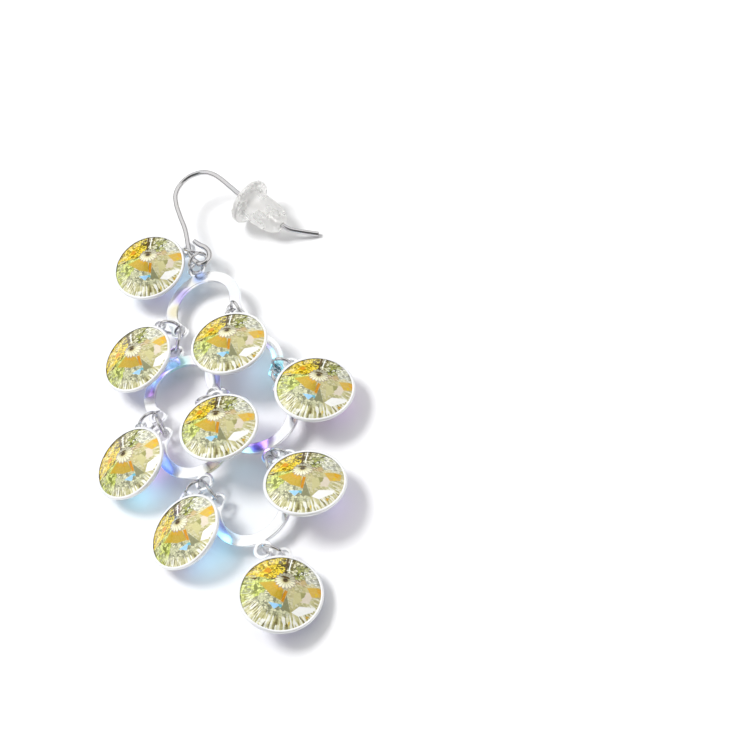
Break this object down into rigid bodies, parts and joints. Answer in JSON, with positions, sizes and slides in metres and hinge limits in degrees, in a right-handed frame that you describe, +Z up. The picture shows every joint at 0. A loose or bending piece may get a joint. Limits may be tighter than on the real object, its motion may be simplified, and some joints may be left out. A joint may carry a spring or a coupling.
{
  "type": "chandelier earring",
  "caption": "Long earring lying flat: ear wire with a clear stopper, a lattice of open horseshoe links and round pointed crystals in collar settings hung on jump rings.",
  "frame": {"origin": "on the surface it lies on, under the middle of its footprint", "axes": "+Y along its length towards the ear wire, +Z up out of the surface, crystals facing up"},
  "size_m": [0.043, 0.0792, 0.0086],
  "materials": {
    "link_metal": "mirror polished plating",
    "setting_metal": "polished plating",
    "wire_metal": "polished wire",
    "ring_metal": "polished wire",
    "crystal": "cut crystal with an iridescent foil back",
    "silicone": "frosted clear silicone"
  },
  "bodies": {
    "root": {"half_ring_top": "link_metal", "half_ring_left": "link_metal", "half_ring_right": "link_metal", "half_ring_lower_left": "link_metal", "half_ring_lower_right": "link_metal", "half_ring_bottom": "link_metal", "stone_1": "crystal", "cup_1": "setting_metal", "stone_2": "crystal", "cup_2": "setting_metal", "stone_3": "crystal", "cup_3": "setting_metal", "stone_4": "crystal", "cup_4": "setting_metal", "stone_5": "crystal", "cup_5": "setting_metal", "stone_6": "crystal", "cup_6": "setting_metal", "stone_7": "crystal", "cup_7": "setting_metal", "stone_8": "crystal", "cup_8": "setting_metal", "stone_9": "crystal", "cup_9": "setting_metal", "ear_hook": "wire_metal", "stopper": "silicone", "ring_top_left": "ring_metal", "ring_top_right": "ring_metal", "ring_left": "ring_metal", "ring_right": "ring_metal", "ring_bottom_left": "ring_metal", "ring_bottom_right": "ring_metal", "ring_middle": "ring_metal", "ring_hook": "ring_metal", "ring_stone_1": "ring_metal", "ring_stone_2": "ring_metal", "ring_stone_3": "ring_metal", "ring_stone_4": "ring_metal", "ring_stone_5": "ring_metal", "ring_stone_6": "ring_metal", "ring_stone_7": "ring_metal", "ring_stone_8": "ring_metal", "ring_stone_9": "ring_metal"}
  },
  "joints": []
}
